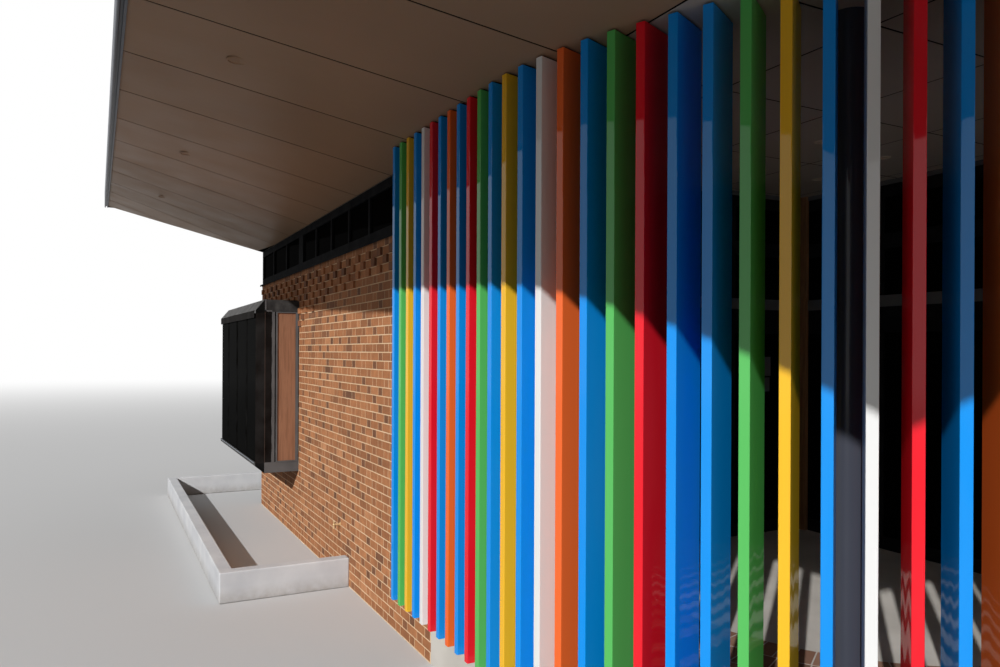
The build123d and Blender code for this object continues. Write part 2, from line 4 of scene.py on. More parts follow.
import bmesh
import bpy
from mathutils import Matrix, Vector

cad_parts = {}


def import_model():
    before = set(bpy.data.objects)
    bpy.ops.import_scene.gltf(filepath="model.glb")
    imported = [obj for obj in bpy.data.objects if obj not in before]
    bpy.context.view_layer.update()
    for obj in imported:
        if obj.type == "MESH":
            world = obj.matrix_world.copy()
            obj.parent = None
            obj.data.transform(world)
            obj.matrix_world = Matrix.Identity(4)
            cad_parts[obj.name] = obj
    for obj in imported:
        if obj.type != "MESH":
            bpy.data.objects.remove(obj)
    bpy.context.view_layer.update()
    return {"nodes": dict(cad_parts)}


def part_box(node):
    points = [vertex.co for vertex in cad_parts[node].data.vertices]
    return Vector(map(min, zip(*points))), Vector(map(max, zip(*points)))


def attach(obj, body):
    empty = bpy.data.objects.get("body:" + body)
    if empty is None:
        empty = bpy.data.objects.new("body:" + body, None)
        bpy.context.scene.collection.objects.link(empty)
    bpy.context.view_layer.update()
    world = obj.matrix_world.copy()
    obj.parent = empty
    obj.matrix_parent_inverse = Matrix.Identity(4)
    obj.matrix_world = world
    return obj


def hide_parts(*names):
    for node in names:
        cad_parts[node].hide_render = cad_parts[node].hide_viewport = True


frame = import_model()
nodes = frame["nodes"]

# Places read from the frame, in metres
wall_low, wall_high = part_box("front_wall")
end_x, front_y = wall_low.x, wall_low.y
side_x, brick_top = wall_high.x, wall_high.z
right_low, right_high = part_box("right_wall")
right_x, veranda_y = right_high.x, right_low.y
back_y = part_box("back_wall")[1].y
soffit_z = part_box("room_ceiling")[0].z
slab_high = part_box("veranda_slab")[1]
floor_z = slab_high.z
soffit_low, soffit_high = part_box("front_soffit")
soffit_left, edge_y, soffit_right = soffit_low.x, soffit_low.y, soffit_high.x
window_low, window_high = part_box("back_window_frames")
base_low, base_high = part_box("bay_base")
head_low, head_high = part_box("bay_head")
sill_low, sill_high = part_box("bay_sill_flashing")
flash_low, flash_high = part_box("bay_head_flashing")

# Sizes in the frame that the boxes don't give
soffit_sheet = 0.030
arc_radius = 2.997
bay_slope_top = 3.150
bay_slope_bottom = 1.027
bay_corner_cut = 0.090
planter_wall = 0.150

# Places that follow from these
eave_rise = soffit_high.z - soffit_sheet - soffit_z
eave_reach = front_y - edge_y
eave_slope = eave_rise / (soffit_right - soffit_left)
arc_x = slab_high.x - arc_radius
arc_y = front_y + arc_radius

# Bricks
course_height = 0.086
brick_joint = 0.010
stretcher = 0.230
header = 0.110
bond = stretcher + header + 2 * brick_joint
brick_proud = 0.0012
brick_sunk = 0.002
brick_edge = 0.0010
brick_jitter = 0.0004
header_proud = 0.026

# Tones of the bricks: the spread of each kind, the share that is dark, and how dark
stretcher_tones = (3.4, 2.2)
header_tones = (2.2, 2.8)
stretcher_dark = 0.06
header_dark = 0.3
dark_tone = 0.3

# How far along a wall each upper row has headers that stand out
proud_rows = {1: inf, 2: inf, 3: inf}
front_proud_rows = {**proud_rows, 4: 5.4, 5: 4.2, 6: 3.6, 7: 3.2, 8: 2.95}

back_windows = 3

# Panels under the eaves and over the veranda, with joints counted along the front
panel_drop = 0.002
panel_sunk = 0.002
panel_gap = 0.016
joint_at_wall = 9.835
joint_pitch_wall = 1.10
joint_at_edge = 9.93
joint_pitch_edge = 1.06
ceiling_pitch = 1.03
eave_cells = (4, 8)
end_cells = (4, 6)

# Fins, and how near their CAD corners lie to count as one, or as being at the foot
fin_edge = 0.004
fin_wall = 0.003
fin_gap = 0.012
fin_recess = 0.020
fin_head_share = (0.8, 0.5)
fin_head_drop = 0.060
same_point = 0.0001
same_height = 0.001

# Boards along the edge of the roof, the groove as a share of their width
edge_groove = (0.3, 0.62)
edge_groove_depth = 0.024
edge_lip = 0.004
edge_fold = 0.006

# Section of the clerestory's sill, out from the wall and up from the brick top
drip_profile = (
    (-0.006, -0.001), (0.034, -0.001), (0.034, -0.024), (0.037, -0.024), (0.037, 0.003), (-0.006, 0.018)
)

# Veranda, with lights placed along the front from the end wall
paver_width = 0.105
paver_rings = 5
paver_tilt = 0.0006
veranda_lights = ((8.35, 3.65), (9.19, 3.46), (9.28, 2.59))
veranda_light_radius = 0.055
eave_lights = (1.78, 5.04, 8.30, 11.56)
eave_light_out = 1.67
eave_light_radius = 0.070
light_profile = ((1.0, -0.001), (1.0, 0.0036), (0.94, 0.006), (0.8, 0.006), (0.74, 0.0018))
light_steps = 24
transom_cover = (3.05, 3.16)
cover_proud = 0.010
cover_sunk = 0.004
cover_lap = 0.002
ceiling_trim = 0.045
ceiling_trim_proud = 0.012
trim_sunk = 0.002

# Notices on the screen: depth from the front, bottom and top
notices_at = ((3.75, 2.354, 2.557), (3.736, 2.190, 2.338))
notice_width = 0.13
notice_back = 0.021
notice_front = 0.018

# Bay window, with posts placed along each wall from their corner
bay_posts = (0.094, 0.973, 1.85)
bay_end_post = 0.45
bay_band = (-0.100, 0.030)
bay_band_proud = 0.002
bay_seal = 0.014
bay_seal_proud = 0.001
bay_head_lip = 0.100
# Height of the pale strip of painted highlight along the bay sill's top edge
bay_sill_lip = 0.014
bay_lip_back = 0.20
bay_lip_proud = 0.003
bay_lip_sunk = 0.004

# Sides of the bay, placed by distance from the wall
bay_gap = 0.012
# How far the black strips of painted shade in the side gaps stand out
bay_painted_shade_proud = 0.001
bay_board = (0.047, 0.293)
bay_trim = 0.020
bay_trim_proud = 0.009
bay_flat_proud = 0.006
bay_sill_start = 0.001
bay_sill_rise = 0.003
bay_sill_proud = 0.003
# Width and standing out of the painted highlight, a lighter brown strip down the edge of each corner post
bay_highlight_strip = 0.007
bay_highlight_strip_proud = 0.004
bay_sealant = (0.330, 0.366)
sealant_steps = 60
sealant_waves = ((0.004, 0.9, 0), (0.003, 0.37, 2))
# Where the black plates of painted shade lie, back from and out from the flashings' cut faces
shade_plate_back = -0.001
shade_plate_front = 0.002

# Planter
planter_round = 0.014
planter_round_steps = 3

# Floor round the part, in metres from its middle
floor_half = 1500
floor_fade_begin = 14
floor_fade_end = 70
floor_seen = 0.62
floor_given_back = 0.27

# Light, the sky's by its height above the horizon
sky_low = 0.05
sky_high = 0.36
sky_high_from = 0.45
sun_direction = (-0.5697, 0.6838, -0.4560)
sun_strength = 3.3
sun_softness = 0.7

# Camera, placed from the left end and the front of the walls
camera_right = 13.57
camera_front = 2.461
camera_height = 2.6
camera_direction = (-0.8887, 0.4584, 0.0)
camera_roll = 0.0045
camera_lens = 28.0
camera_shift = 0.018


def soffit_height(x, y):
    """Height of the underside of the eaves and ceilings at a place in plan."""
    out = max(abs(y) - back_y, 0) / eave_reach
    along = end_x - x
    side = along / (end_x - soffit_left)
    if along <= 0:
        return soffit_z + eave_slope * (soffit_right - x) * out
    if out >= side:
        return soffit_z + eave_slope * ((soffit_right - end_x) * out + along)
    return soffit_z + eave_rise * side


def placed(name, data):
    """A new object in the scene."""
    thing = bpy.data.objects.new(name, data)
    bpy.context.scene.collection.objects.link(thing)
    return thing


class Shape:
    """Points and faces of one piece. Each face has a shade from 0 to 1 for its material."""

    def __init__(self):
        self.points = []
        self.faces = []
        self.shades = []

    def add(self, points, faces, shade):
        first = len(self.points)
        self.points.extend(tuple(point) for point in points)
        self.faces.extend([first + i for i in face] for face in faces)
        self.shades.extend([shade] * len(faces))

    def stack(self, rings, shade=0.5):
        """A solid whose sides run from ring to ring, each of as many points, with closed ends."""
        count = len(rings[0])
        last = count * (len(rings) - 1)
        faces = []
        for first in range(0, last, count):
            for i in range(count):
                j = (i + 1) % count
                faces.append((first + i, first + j, first + count + j, first + count + i))
        faces += [tuple(reversed(range(count))), tuple(range(last, last + count))]
        self.add([point for ring in rings for point in ring], faces, shade)

    def box(self, low, high):
        ring = [(low[0], low[1]), (high[0], low[1]), (high[0], high[1]), (low[0], high[1])]
        self.stack([[(*p, z) for p in ring] for z in (low[2], high[2])])

    def piece(self, name, finish, slot, replaces=()):
        """The shape as a piece of the visual model, in place of any CAD nodes it replaces."""
        mesh = bpy.data.meshes.new(name)
        mesh.from_pydata(self.points, [], self.faces)
        shades = mesh.attributes.new("shade", "FLOAT", "FACE")
        shades.data.foreach_set("value", self.shades)
        mesh.materials.append(finish.material)
        mesh.update()
        piece = placed(name, mesh)
        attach(piece, "root")
        if replaces:
            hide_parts(*replaces)
        return piece


class Face:
    """An upright face of a wall, with places given along it, up it and out from it."""

    def __init__(self, start, along, out, length):
        self.start = Vector((*start, 0))
        self.along = Vector((*along, 0))
        self.out = Vector((*out, 0))
        self.length = length

    def place(self, along, height, out):
        point = self.start + self.along * along + self.out * out
        return point.x, point.y, height

    def strip(self, shape, profile, begin=0, end=None):
        """A bar along the face, with a profile of (out, height) points."""
        end = self.length if end is None else end
        shape.stack([[self.place(s, z, out) for out, z in profile] for s in (begin, end)])

    def block(self, shape, along, height, out):
        """A square-edged block between low and high places."""
        profile = [(out[0], height[0]), (out[1], height[0]), (out[1], height[1]), (out[0], height[1])]
        self.strip(shape, profile, *along)


front_face = Face((end_x, front_y), (1, 0), (0, -1), side_x - end_x)
end_face = Face((end_x, back_y), (0, -1), (-1, 0), back_y - front_y)
back_face = Face((right_x, back_y), (-1, 0), (0, 1), right_x - end_x)
right_face = Face((right_x, veranda_y), (0, 1), (1, 0), back_y - veranda_y)
side_face = Face((side_x, front_y), (0, 1), (1, 0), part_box("side_screen_frame")[0].y - front_y)
return_face = Face((right_low.x, veranda_y), (1, 0), (0, -1), right_x - right_low.x)
bay_near_side = Face((head_high.x, head_low.y), (0, 1), (1, 0), front_y - head_low.y)
bay_far_side = Face((end_x, head_high.y), (-1, 0), (0, 1), end_x - head_low.x)


# Finishes


def srgb(red, green, blue):
    """A colour given as 0 to 255 on screen, as Blender's linear values."""
    parts = [value / 255 for value in (red, green, blue)]
    return [v / 12.92 if v <= 0.04045 else ((v + 0.055) / 1.055) ** 2.4 for v in parts] + [1]


class Shading:
    """The shader nodes of a material or of the world."""

    def __init__(self, owner):
        owner.use_nodes = True
        self.tree = owner.node_tree

    def node(self, kind, **settings):
        node = self.tree.nodes.new(kind)
        for name, value in settings.items():
            setattr(node, name, value)
        return node

    def link(self, value, socket):
        if isinstance(value, bpy.types.NodeSocket):
            self.tree.links.new(value, socket)
        else:
            socket.default_value = value

    def spread(self, value, low, high, new_low=0, new_high=1, **settings):
        """A value moved from one range to another."""
        spread = self.node("ShaderNodeMapRange", **settings)
        sockets = {"Value": value, "From Min": low, "From Max": high, "To Min": new_low, "To Max": new_high}
        for name, number in sockets.items():
            self.link(number, spread.inputs[name])
        return spread.outputs["Result"]

    def maths(self, operation, first, second):
        maths = self.node("ShaderNodeMath", operation=operation)
        self.link(first, maths.inputs[0])
        self.link(second, maths.inputs[1])
        return maths.outputs[0]

    def sum(self, first, second):
        return self.maths("ADD", first, second)

    def product(self, first, second):
        return self.maths("MULTIPLY", first, second)

    def seen(self):
        """1 for what the camera sees, straight or in metal and glass, and otherwise 0."""
        path = self.node("ShaderNodeLightPath")
        seen = path.outputs["Is Camera Ray"]
        for ray in ("Is Glossy Ray", "Is Transmission Ray"):
            seen = self.maths("MAXIMUM", seen, path.outputs[ray])
        return seen


class Finish(Shading):
    """A procedural material, patterned in metres in the frame's own places."""

    def __init__(self, name, roughness, metallic=0.0, **sockets):
        self.material = bpy.data.materials.new(name)
        super().__init__(self.material)
        self.shader = self.tree.nodes["Principled BSDF"]
        sockets = {"Roughness": roughness, "Metallic": metallic, **sockets}
        for socket, value in sockets.items():
            self.shader.inputs[socket.replace("_", " ")].default_value = value
        self.places = self.node("ShaderNodeTexCoord").outputs["Object"]

    def stretched(self, stretch):
        mapping = self.node("ShaderNodeMapping")
        self.link(self.places, mapping.inputs["Vector"])
        mapping.inputs["Scale"].default_value = stretch
        return mapping.outputs["Vector"]

    def noise(self, scale, detail=4.0, stretch=(1, 1, 1), distortion=0.0):
        noise = self.node("ShaderNodeTexNoise")
        self.link(self.stretched(stretch), noise.inputs["Vector"])
        noise.inputs["Scale"].default_value = scale
        noise.inputs["Detail"].default_value = detail
        noise.inputs["Distortion"].default_value = distortion
        return noise.outputs["Fac"]

    def shade(self):
        """The shade number of each face."""
        return self.node("ShaderNodeAttribute", attribute_name="shade").outputs["Fac"]

    def ramp(self, value, *stops):
        ramp = self.node("ShaderNodeValToRGB")
        elements = ramp.color_ramp.elements
        while len(elements) < len(stops):
            elements.new(0.5)
        for element, (place, colour) in zip(elements, stops):
            element.position = place
            element.color = colour
        self.link(value, ramp.inputs["Fac"])
        return ramp.outputs["Color"]

    def mix(self, factor, first, second, mode="MIX"):
        mix = self.node("ShaderNodeMix", data_type="RGBA", blend_type=mode)
        sockets = [s for s in mix.inputs if s.enabled]
        self.link(factor, sockets[0])
        self.link(first, sockets[1])
        self.link(second, sockets[2])
        return [s for s in mix.outputs if s.enabled][0]

    def colour(self, value):
        self.link(value, self.shader.inputs["Base Color"])

    def rough(self, value):
        self.link(value, self.shader.inputs["Roughness"])
        return self

    def bump(self, height, distance, strength, socket="Normal"):
        bump = self.node("ShaderNodeBump")
        bump.inputs["Distance"].default_value = distance
        bump.inputs["Strength"].default_value = strength
        self.link(height, bump.inputs["Height"])
        self.link(bump.outputs["Normal"], self.shader.inputs[socket])
        return self


def brick_finish():
    """Fired clay: a tone for each brick, mottled faces, dark iron spots and a sandy skin."""
    finish = Finish("brick_clay", roughness=0.88, Specular_IOR_Level=0.3)
    tone = finish.ramp(
        finish.shade(),
        (0.0, srgb(110, 75, 54)),
        (0.12, srgb(130, 87, 61)),
        (0.24, srgb(152, 100, 66)),
        (0.55, srgb(170, 112, 73)),
        (0.85, srgb(184, 124, 82)),
        (1.0, srgb(200, 142, 100)),
    )
    mottle = finish.spread(finish.noise(9, 5), 0.3, 0.7, 0.84, 1.12)
    mottled = finish.mix(1.0, tone, mottle, "MULTIPLY")
    spots = finish.spread(finish.noise(240, 2), 0.66, 0.74)
    finish.colour(finish.mix(spots, mottled, srgb(92, 56, 42)))
    grit = finish.sum(finish.noise(420, 3), finish.product(finish.noise(60, 3), 0.8))
    return finish.bump(grit, 0.0012, 0.5)


def mortar_finish():
    """Cream mortar, raked back, with sand in it."""
    finish = Finish("mortar", roughness=0.95, Specular_IOR_Level=0.2)
    patch = finish.spread(finish.noise(3.5, 5), 0.3, 0.7)
    finish.colour(finish.mix(patch, srgb(218, 186, 148), srgb(232, 204, 168)))
    return finish.bump(finish.noise(500, 3), 0.001, 0.5)


def concrete_finish():
    """Pale broomed concrete with faint stains."""
    finish = Finish("concrete", roughness=0.85, Specular_IOR_Level=0.3)
    stain = finish.spread(finish.noise(1.4, 6), 0.35, 0.65)
    finish.colour(finish.mix(stain, srgb(190, 184, 175), srgb(212, 206, 197)))
    broom = finish.noise(35, 3, (1, 14, 1))
    return finish.bump(finish.sum(broom, finish.noise(300, 3)), 0.0012, 0.4)


def paver_finish():
    """Terracotta pavers, a little dusty."""
    finish = Finish("paver_clay", roughness=0.85, Specular_IOR_Level=0.3)
    tone = finish.ramp(
        finish.shade(), (0.0, srgb(112, 82, 66)), (0.5, srgb(134, 98, 80)), (1.0, srgb(156, 118, 96))
    )
    dust = finish.spread(finish.noise(7, 5), 0.45, 0.75, 0, 0.35)
    finish.colour(finish.mix(dust, tone, srgb(176, 152, 130)))
    return finish.bump(finish.noise(260, 4), 0.001, 0.5)


def render_finish():
    """Painted cement render: off-white, trowelled, with grey grime near the ground."""
    finish = Finish("planter_render", roughness=0.8, Specular_IOR_Level=0.3)
    patch = finish.spread(finish.noise(2.2, 6), 0.35, 0.65)
    clean = finish.mix(patch, srgb(196, 197, 200), srgb(214, 214, 215))
    height = finish.node("ShaderNodeSeparateXYZ")
    finish.link(finish.places, height.inputs[0])
    splash = finish.product(finish.spread(height.outputs["Z"], 0.16, 0.0), finish.noise(14, 5))
    finish.colour(finish.mix(splash, clean, srgb(150, 142, 132)))
    trowel = finish.sum(finish.noise(11, 4, (1, 1, 2)), finish.noise(160, 3))
    return finish.bump(trowel, 0.002, 0.4)


def gloss_paint(name, colour, shine=0.6):
    """Gloss powder coat on sheet that isn't quite flat, with orange peel and a little dust."""
    finish = Finish(name, roughness=0.4, Specular_IOR_Level=0, Coat_Weight=shine, Coat_Roughness=0.04)
    base = srgb(*colour)
    dusty = [0.97 * c + 0.03 * d for c, d in zip(base, srgb(205, 198, 188))]
    dust = finish.spread(finish.noise(3.0, 6, (1, 1, 0.25)), 0.4, 0.75, 0, 0.8)
    finish.colour(finish.mix(dust, base, dusty))
    finish.bump(finish.noise(140, 2), 0.0003, 0.35)
    return finish.bump(finish.noise(4.5, 1, (1, 1, 0.3)), 0.008, 0.5, "Coat Normal")


def satin_paint(name, colour, roughness=0.42, patch=0.12, shine=0.2):
    """Satin paint or coated sheet with uneven gloss and light dust."""
    finish = Finish(name, roughness, Specular_IOR_Level=0, Coat_Weight=shine, Coat_Roughness=roughness)
    base = srgb(*colour)
    pale = [min(c * (1 + 2 * patch) + 0.01, 1) for c in base[:3]] + [1]
    finish.colour(finish.mix(finish.spread(finish.noise(4, 6), 0.3, 0.7), base, pale))
    finish.rough(finish.spread(finish.noise(30, 4), 0.3, 0.7, roughness - 0.08, roughness + 0.08))
    return finish.bump(finish.noise(220, 2), 0.0003, 0.3)


def soffit_finish():
    """Bronze composite panels: satin and metallic, a shade apart from each other."""
    finish = Finish("bronze_panel", roughness=0.36, metallic=0.02, Specular_IOR_Level=0.01)
    tone = finish.mix(finish.shade(), srgb(160, 131, 106), srgb(170, 139, 113))
    cloud = finish.spread(finish.noise(0.8, 3), 0.3, 0.7, 0.95, 1.05)
    finish.colour(finish.mix(1.0, tone, cloud, "MULTIPLY"))
    finish.rough(finish.spread(finish.noise(2.4, 4), 0.3, 0.7, 0.30, 0.42))
    return finish.bump(finish.noise(0.9, 2), 0.004, 0.35)


def glass_finish(name, shine):
    """Dark tinted glass with a slight roll in its surface."""
    finish = Finish(name, roughness=0.3, Specular_IOR_Level=0, Coat_Weight=shine, Coat_Roughness=0.03)
    finish.colour(finish.mix(finish.noise(0.9, 3), srgb(7, 7, 7), srgb(13, 13, 12)))
    return finish.bump(finish.noise(1.6, 2), 0.002, 0.25)


def flashing_finish():
    """Dull folded sheet, weathered in cloudy patches and runs."""
    finish = Finish("grey_flashing", roughness=0.6, metallic=0.1, Specular_IOR_Level=0.15)
    runs = finish.noise(6, 5, (1, 1, 0.2))
    cloud = finish.product(finish.noise(12, 6), runs)
    finish.colour(finish.mix(finish.spread(cloud, 0.14, 0.4), srgb(40, 39, 39), srgb(76, 74, 72)))
    finish.rough(finish.spread(runs, 0.3, 0.7, 0.45, 0.68))
    return finish.bump(finish.sum(finish.noise(9, 3), finish.noise(160, 3)), 0.0015, 0.4)


def wood_finish(name, pale, dark, stretch, gloss=0.45):
    """Clear-finished wood with long grain."""
    finish = Finish(name, roughness=gloss, Coat_Weight=0.15, Coat_Roughness=0.3)
    grain = finish.noise(22, 6, stretch, 0.6)
    fine = finish.noise(150, 4, stretch)
    figure = finish.sum(grain, finish.product(fine, 0.35))
    finish.colour(finish.ramp(figure, (0.45, srgb(*dark)), (0.62, srgb(*pale)), (0.8, srgb(*dark))))
    return finish.bump(figure, 0.0008, 0.4)


def ceiling_finish():
    """Painted ceiling sheet in the shade of the veranda."""
    finish = Finish("ceiling_sheet", roughness=0.6, Specular_IOR_Level=0.35)
    tone = finish.mix(finish.shade(), srgb(170, 158, 146), srgb(182, 170, 158))
    finish.colour(finish.mix(finish.noise(2, 4), tone, srgb(176, 164, 152)))
    return finish.bump(finish.noise(90, 3), 0.0006, 0.3)


def roof_finish():
    """Coated steel roofing with faint water marks along its fall."""
    finish = Finish("roof_sheet", roughness=0.4, metallic=0.25)
    marks = finish.spread(finish.noise(5, 6, (0.15, 1, 1)), 0.3, 0.7)
    finish.colour(finish.mix(marks, srgb(138, 140, 142), srgb(158, 160, 161)))
    return finish.bump(finish.noise(70, 3), 0.0005, 0.3)


def brass_finish():
    """Worn yellow brass, dull in its hollows."""
    finish = Finish("worn_brass", roughness=0.4, metallic=0.4)
    wear = finish.spread(finish.noise(60, 5), 0.35, 0.65)
    finish.colour(finish.mix(wear, srgb(206, 172, 122), srgb(240, 212, 166)))
    return finish.rough(finish.spread(wear, 0, 1, 0.55, 0.32))


clay = brick_finish()
mortar = mortar_finish()
concrete = concrete_finish()
paver_clay = paver_finish()
planter_render = render_finish()
column_gloss = gloss_paint("column_gloss", (66, 69, 79), 0.35)
charcoal = satin_paint("charcoal_paint", (72, 75, 84), 0.28, shine=0.4)
black_frame = satin_paint("black_frame_paint", (24, 25, 27), 0.4, shine=0.03)
# Near black for dark joints, seals and the fins' head plates, and for the bay's strips of painted shade
joint_black = satin_paint("joint_black", (9, 8, 7), 0.8, patch=0.02, shine=0)
dark_glass = glass_finish("dark_glass", 0.006)
bright_glass = glass_finish("bright_glass", 0.018)
bronze = soffit_finish()
ceiling_sheet = ceiling_finish()
roof_sheet = roof_finish()
beam_wood = wood_finish("beam_wood", (176, 140, 96), (146, 110, 70), (0.06, 1, 1), 0.7)
grey_flashing = flashing_finish()
brown_metal = satin_paint("brown_metal", (16, 12, 10), 0.3, shine=0.05)
# A mid grey: the transom covers' grey, and painted shade on the white notices and on the ceiling trims
grey_and_painted_shade = satin_paint("pale_grey_paint", (96, 97, 98), 0.5)
# A paler, bluer grey than the flashing, for the painted highlight along the bay sill's top edge
sill_highlight_grey = satin_paint("lip_grey_paint", (126, 130, 136), 0.5)
# A lighter brown than the posts, for the painted highlight down their edges
bead_brown = satin_paint("bead_brown", (62, 50, 44), 0.4, shine=0.1)
light_trim = satin_paint("light_trim", (196, 178, 160), 0.5)
trim_grey = satin_paint("trim_grey_paint", (86, 85, 85), 0.5)
plywood = wood_finish("plywood_sheet", (150, 106, 80), (128, 87, 63), (1, 1, 0.05))
timber = wood_finish("timber_jamb", (164, 122, 84), (136, 96, 62), (1, 1, 0.05))
brass = brass_finish()
fin_paints = {
    "blue": (5, 150, 243),
    "green": (92, 194, 98),
    "yellow": (252, 194, 44),
    "white": (238, 238, 236),
    "red": (244, 26, 44),
    "orange": (252, 110, 44),
}

node_finishes = {
    mortar: "front_wall end_wall back_wall right_wall side_wall",
    concrete: "floor_slab veranda_slab veranda_plinth",
    column_gloss: "veranda_columns",
    charcoal: "long_fascias end_fascia right_fascia",
    black_frame: "veranda_frame side_screen_frame back_window_frames front_clerestory "
    "end_clerestory back_clerestory right_clerestory",
    dark_glass: "screen_glass back_window_glass clerestory_glass",
    bright_glass: "bay_glass",
    timber: "door_jamb",
    grey_flashing: "bay_base bay_head bay_head_flashing bay_sill_flashing bay_side_frame",
    brown_metal: "bay_posts bay_side_strip",
    plywood: "bay_side_panel",
    planter_render: "planter",
    brass: "hose_tap",
    ceiling_sheet: "room_ceiling",
    joint_black: "veranda_ceiling front_soffit back_soffit end_soffit",
    beam_wood: "roof_beams",
    roof_sheet: "roof_deck",
}
for finish, names in node_finishes.items():
    for name in names.split():
        nodes[name].data.materials.clear()
        nodes[name].data.materials.append(finish.material)


# Brickwork


def cut_out(rectangle, hole):
    """What is left of a rectangle beside, below and above a hole."""
    left, right, low, high = rectangle
    hole_left, hole_right, hole_low, hole_high = hole
    if left >= hole_right or right <= hole_left or low >= hole_high or high <= hole_low:
        return [rectangle]
    middle = max(left, hole_left), min(right, hole_right)
    parts = [(left, hole_left, low, high), (hole_right, right, low, high)]
    parts += [(*middle, low, hole_low), (*middle, hole_high, high)]
    return [p for p in parts if p[1] - p[0] > brick_joint and p[3] - p[2] > brick_joint]


def brick(shape, face, rectangle, proud, shade):
    """One brick's front, with its edges worn off, sunk a little into the mortar behind."""
    left, right, low, high = rectangle
    corners = ((left, low, 1, 1), (right, low, -1, 1), (right, high, -1, -1), (left, high, 1, -1))
    back, rim, front = [], [], []
    for s, z, inward, upward in corners:
        skew = random.uniform(-brick_jitter, brick_jitter)
        back.append(face.place(s, z, -brick_sunk))
        rim.append(face.place(s, z, proud - brick_edge))
        front.append(face.place(s + inward * brick_edge, z + upward * brick_edge, proud + skew))
    shape.stack([back, rim, front], shade)


def brickwork(name, face, low, high, holes=(), rows=None):
    """Flemish bond, set out down from the top course and clipped at holes and ends."""
    shape = Shape()
    rows = rows or {}
    for row in range(ceil((high - low) / course_height)):
        top = high - row * course_height
        bottom = max(top - course_height + brick_joint, low)
        begin = -(row % 2) * bond / 2 - bond
        proud_reach = rows.get(row, 0)
        for i in range(ceil(face.length / bond) + 2):
            place = begin + i * bond
            after = place + stretcher
            laid = (
                (place, after, stretcher_tones, stretcher_dark, 0),
                (after + brick_joint, place + bond - brick_joint, header_tones, header_dark, proud_reach),
            )
            for left, right, tones, dark, reach in laid:
                left = max(left, 0)
                right = min(right, face.length)
                if right - left < 2 * brick_joint or top - bottom < brick_joint:
                    continue
                shade = random.betavariate(*tones)
                if random.random() < dark:
                    shade *= dark_tone
                parts = [(left, right, bottom, top)]
                for hole in holes:
                    parts = [rest for part in parts for rest in cut_out(part, hole)]
                for part in parts:
                    brick(shape, face, part, header_proud if left < reach else brick_proud, shade)
    shape.piece(name, clay, "brick")


def window_holes():
    """The back windows, as holes in the back face."""
    centres = [(i + 0.5) * back_face.length / back_windows for i in range(back_windows)]
    half = centres[0] - (right_x - window_high.x)
    return [(c - half, c + half, window_low.z, window_high.z) for c in centres]


# Panels of the eaves and ceilings


def panel(shape, corners, shade, across, along):
    """A thin sheet under the eaves between four corners in plan, following their slope."""
    low, high = [], []
    for i in range(across + 1):
        for j in range(along + 1):
            s, t = i / across, j / along
            near = [a * (1 - s) + b * s for a, b in zip(corners[0], corners[1])]
            far = [a * (1 - s) + b * s for a, b in zip(corners[3], corners[2])]
            x, y = (a * (1 - t) + b * t for a, b in zip(near, far))
            height = soffit_height(x, y)
            low.append((x, y, height - panel_drop))
            high.append((x, y, height + panel_sunk))
    step = along + 1
    count = len(low)
    faces = []
    for i in range(across):
        for j in range(along):
            a, b, c, d = (k * step + m for k, m in ((i, j), (i + 1, j), (i + 1, j + 1), (i, j + 1)))
            faces += [(d, c, b, a), (count + a, count + b, count + c, count + d)]
    rim = list(range(step))
    rim += [i * step + along for i in range(1, across + 1)]
    rim += [across * step + j for j in reversed(range(along))]
    rim += [i * step for i in reversed(range(1, across))]
    for a, b in zip(rim, rim[1:] + rim[:1]):
        faces.append((a, b, count + b, count + a))
    shape.add(low + high, faces, shade)


def on_line(line, y):
    """Where a joint line, given by its place at the wall and at the edge, crosses a depth."""
    share = (front_y - y) / eave_reach
    return line[0] * (1 - share) + line[1] * share


def mitre_cross(line):
    """Depth at which a joint line meets the mitre of the eaves, or the wall line."""
    if line[0] >= end_x:
        return front_y
    lean = (end_x - soffit_left) / eave_reach
    share = (end_x - line[0]) / (line[1] - line[0] + lean * eave_reach)
    return front_y - eave_reach * share


def joint_lines():
    """Joints across the eaves, each with its place at the wall and at the edge."""
    number = int((soffit_right - end_x - joint_at_wall) / joint_pitch_wall)
    lines = [(soffit_right, soffit_right)]
    while True:
        wall = end_x + joint_at_wall + number * joint_pitch_wall
        edge = end_x + joint_at_edge + number * joint_pitch_edge
        if edge <= soffit_left + panel_gap:
            break
        lines.append((wall, edge))
        number -= 1
    lines.append((soffit_left, soffit_left))
    return lines


def eave_panels(name, sign):
    """The panels of one long eave: sign is 1 in front and -1 behind."""
    shape = Shape()
    half = panel_gap / 2
    corner = (end_x, end_x)
    lines = sorted(joint_lines() + [corner], key=lambda line: -line[1])
    shade = 0
    for right, left in zip(lines, lines[1:]):
        if right is not corner:
            shade = random.random()
        right_gap = 0 if right is corner else half
        left_gap = 0 if left is corner else half
        ends = []
        for line, gap in ((left, left_gap), (right, -right_gap)):
            inner = mitre_cross(line) - half
            ends.append(((on_line(line, inner) + gap, inner), (on_line(line, edge_y) + gap, edge_y)))
        (a, b), (c, d) = ends
        ring = [(x, sign * y) for x, y in (a, b, d, c)]
        panel(shape, ring[::sign], shade, *eave_cells)
    shape.piece(name, bronze, "soffit")


def end_panels():
    """The panels under the eave at the end wall, with a joint about every 1.1 m."""
    shape = Shape()
    half = panel_gap / 2
    bays = round(2 * back_y / joint_pitch_wall)
    joints = [front_y + i * 2 * back_y / bays for i in range(bays + 1)]
    at_wall = [front_y] + joints + [back_y]
    at_edge = [edge_y] + joints + [-edge_y]
    lean = eave_reach / (end_x - soffit_left)
    for i in range(bays + 2):
        ring = [
            (end_x - half, at_wall[i + 1] - half * lean * (i > bays)),
            (soffit_left, at_edge[i + 1] - half),
            (soffit_left, at_edge[i] + half),
            (end_x - half, at_wall[i] + half),
        ]
        panel(shape, ring, random.random(), *end_cells)
    shape.piece("end_eave_panels", bronze, "soffit")


